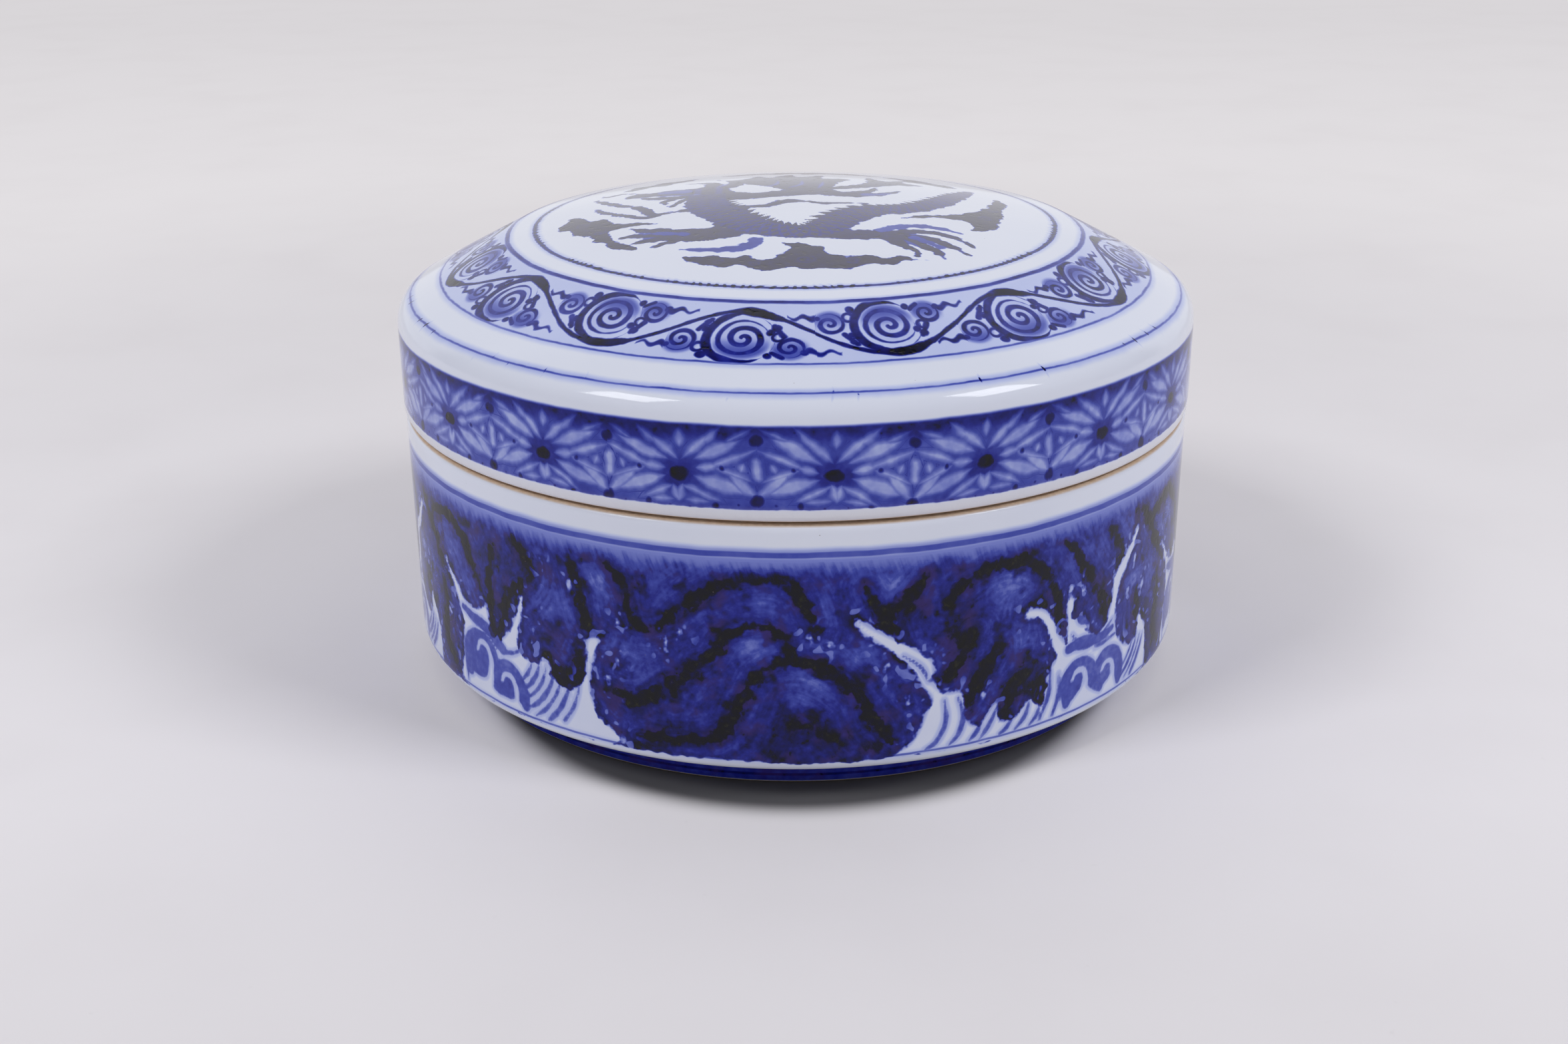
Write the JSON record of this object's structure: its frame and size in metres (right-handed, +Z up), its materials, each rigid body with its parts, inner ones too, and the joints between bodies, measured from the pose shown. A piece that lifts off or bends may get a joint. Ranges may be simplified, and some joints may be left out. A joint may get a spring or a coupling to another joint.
{
  "type": "seal paste box",
  "caption": "Round blue-and-white glazed porcelain box with a domed lift-off lid, a foot ring and a mound of red seal paste inside.",
  "frame": {"origin": "middle of the foot ring's lower face, on the table", "axes": "+Z up along the box's axis of symmetry; -Y is the side that the picture shows"},
  "size_m": [0.1204, 0.1204, 0.0697],
  "materials": {
    "base_porcelain": "white glaze over cobalt painting, bare body at the seat, standing rim and foot edge",
    "lid_porcelain": "white glaze over cobalt painting, bare body at the lower lip",
    "paste": "dense oily cinnabar red paste, satin, with fibres and spatula marks"
  },
  "bodies": {
    "base": {"base": "base_porcelain", "seal_paste": "paste"},
    "lid": {"lid": "lid_porcelain"}
  },
  "joints": [
    {"name": "lid_lift", "type": "slide", "parent": "base", "child": "lid", "axis": [0, 0, 1], "range_m": [0, 0.07]}
  ]
}
